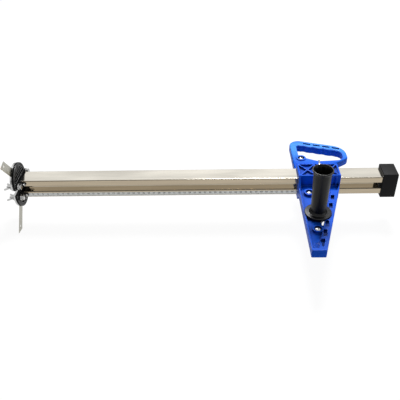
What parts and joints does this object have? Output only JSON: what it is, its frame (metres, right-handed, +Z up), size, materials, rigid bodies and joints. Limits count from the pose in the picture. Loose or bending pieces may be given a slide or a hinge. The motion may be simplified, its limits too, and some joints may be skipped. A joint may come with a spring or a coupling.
{
  "type": "drywall cutter",
  "caption": "Long board cutter with flat steel rails, a board gap between opposed snap-off blades, and a sliding blue fence with loop handle and upright grip.",
  "frame": {"origin": "Middle of the board gap, in the plane of the two blades, on the tubes' centre line.", "axes": "X runs along the tubes from the blades to the end cap, Y runs from the user's side to the far side, and Z is up through the grip."},
  "size_m": [0.7547, 0.3547, 0.18],
  "materials": {
    "tube_steel": "satin",
    "zinc_steel": "bright",
    "blade_steel": "ground",
    "clamp_steel": "satin",
    "holder_plastic": "fine texture",
    "cap_plastic": "fine texture",
    "blue_plastic": "semi-gloss",
    "grip_plastic": "satin",
    "insert_brass": "turned"
  },
  "bodies": {
    "frame": {"upper_tube": "tube_steel", "lower_tube": "tube_steel", "end_cap": "cap_plastic", "cap_screws": "zinc_steel", "upper_knife_holder": "holder_plastic", "lower_knife_holder": "holder_plastic", "holder_screws": "zinc_steel", "upper_clamp_plate": "clamp_steel", "lower_clamp_plate": "clamp_steel", "knife_bolts": "zinc_steel", "head_washers": "zinc_steel"},
    "carriage": {"upper_housing": "blue_plastic", "lower_housing": "blue_plastic", "joint_screws": "zinc_steel", "joint_nuts": "zinc_steel", "grip": "grip_plastic", "grip_bolt": "zinc_steel", "grip_washer": "zinc_steel", "grip_nut": "zinc_steel", "lock_insert": "insert_brass"},
    "upper_blade": {"upper_blade": "blade_steel"},
    "lower_blade": {"lower_blade": "blade_steel"},
    "lock_pad": {"lock_pad": "insert_brass"},
    "lock_screw": {"lock_screw": "zinc_steel"},
    "nut_washer_upper_front": {"nut_washer_upper_front": "zinc_steel"},
    "wing_nut_upper_front": {"wing_nut_upper_front": "zinc_steel"},
    "nut_washer_upper_rear": {"nut_washer_upper_rear": "zinc_steel"},
    "wing_nut_upper_rear": {"wing_nut_upper_rear": "zinc_steel"},
    "nut_washer_lower_front": {"nut_washer_lower_front": "zinc_steel"},
    "wing_nut_lower_front": {"wing_nut_lower_front": "zinc_steel"},
    "nut_washer_lower_rear": {"nut_washer_lower_rear": "zinc_steel"},
    "wing_nut_lower_rear": {"wing_nut_lower_rear": "zinc_steel"}
  },
  "joints": [
    {"name": "fence_slide", "type": "slide", "parent": "frame", "child": "carriage", "axis": [1, 0, 0], "range_m": [-0.513, 0.074]},
    {"name": "upper_blade_slide", "type": "slide", "parent": "frame", "child": "upper_blade", "axis": [0, -0.6388, 0.7694], "range_m": [0, 0.03]},
    {"name": "lower_blade_slide", "type": "slide", "parent": "frame", "child": "lower_blade", "axis": [0, -0.6388, -0.7694], "range_m": [0, 0.03]},
    {"name": "lock_turn", "type": "hinge", "parent": "lock_pad", "child": "lock_screw", "pos_m": [0.591, 0, 0.03], "axis": [0, 0, 1], "range_deg": [-170, 360]},
    {"name": "lock_feed", "type": "slide", "parent": "carriage", "child": "lock_pad", "axis": [0, 0, 1], "range_m": [-0.0005, 0.00101]},
    {"name": "nut_turn_upper_front", "type": "hinge", "parent": "nut_washer_upper_front", "child": "wing_nut_upper_front", "pos_m": [-0.008, -0.027, 0.0125], "axis": [1, 0, 0], "range_deg": [-720, 0]},
    {"name": "nut_feed_upper_front", "type": "slide", "parent": "frame", "child": "nut_washer_upper_front", "axis": [1, 0, 0], "range_m": [-0.00161, 0]},
    {"name": "nut_turn_upper_rear", "type": "hinge", "parent": "nut_washer_upper_rear", "child": "wing_nut_upper_rear", "pos_m": [-0.008, 0.027, 0.0125], "axis": [1, 0, 0], "range_deg": [-720, 0]},
    {"name": "nut_feed_upper_rear", "type": "slide", "parent": "frame", "child": "nut_washer_upper_rear", "axis": [1, 0, 0], "range_m": [-0.00161, 0]},
    {"name": "nut_turn_lower_front", "type": "hinge", "parent": "nut_washer_lower_front", "child": "wing_nut_lower_front", "pos_m": [-0.008, -0.027, -0.0125], "axis": [1, 0, 0], "range_deg": [-720, 0]},
    {"name": "nut_feed_lower_front", "type": "slide", "parent": "frame", "child": "nut_washer_lower_front", "axis": [1, 0, 0], "range_m": [-0.00161, 0]},
    {"name": "nut_turn_lower_rear", "type": "hinge", "parent": "nut_washer_lower_rear", "child": "wing_nut_lower_rear", "pos_m": [-0.008, 0.027, -0.0125], "axis": [1, 0, 0], "range_deg": [-720, 0]},
    {"name": "nut_feed_lower_rear", "type": "slide", "parent": "frame", "child": "nut_washer_lower_rear", "axis": [1, 0, 0], "range_m": [-0.00161, 0]}
  ],
  "couplings": [
    {"joint": "lock_feed", "follows": "lock_turn", "m_per_rad": 0.00015915},
    {"joint": "nut_feed_upper_front", "follows": "nut_turn_upper_front", "m_per_rad": 0.00012732},
    {"joint": "nut_feed_upper_rear", "follows": "nut_turn_upper_rear", "m_per_rad": 0.00012732},
    {"joint": "nut_feed_lower_front", "follows": "nut_turn_lower_front", "m_per_rad": 0.00012732},
    {"joint": "nut_feed_lower_rear", "follows": "nut_turn_lower_rear", "m_per_rad": 0.00012732}
  ]
}
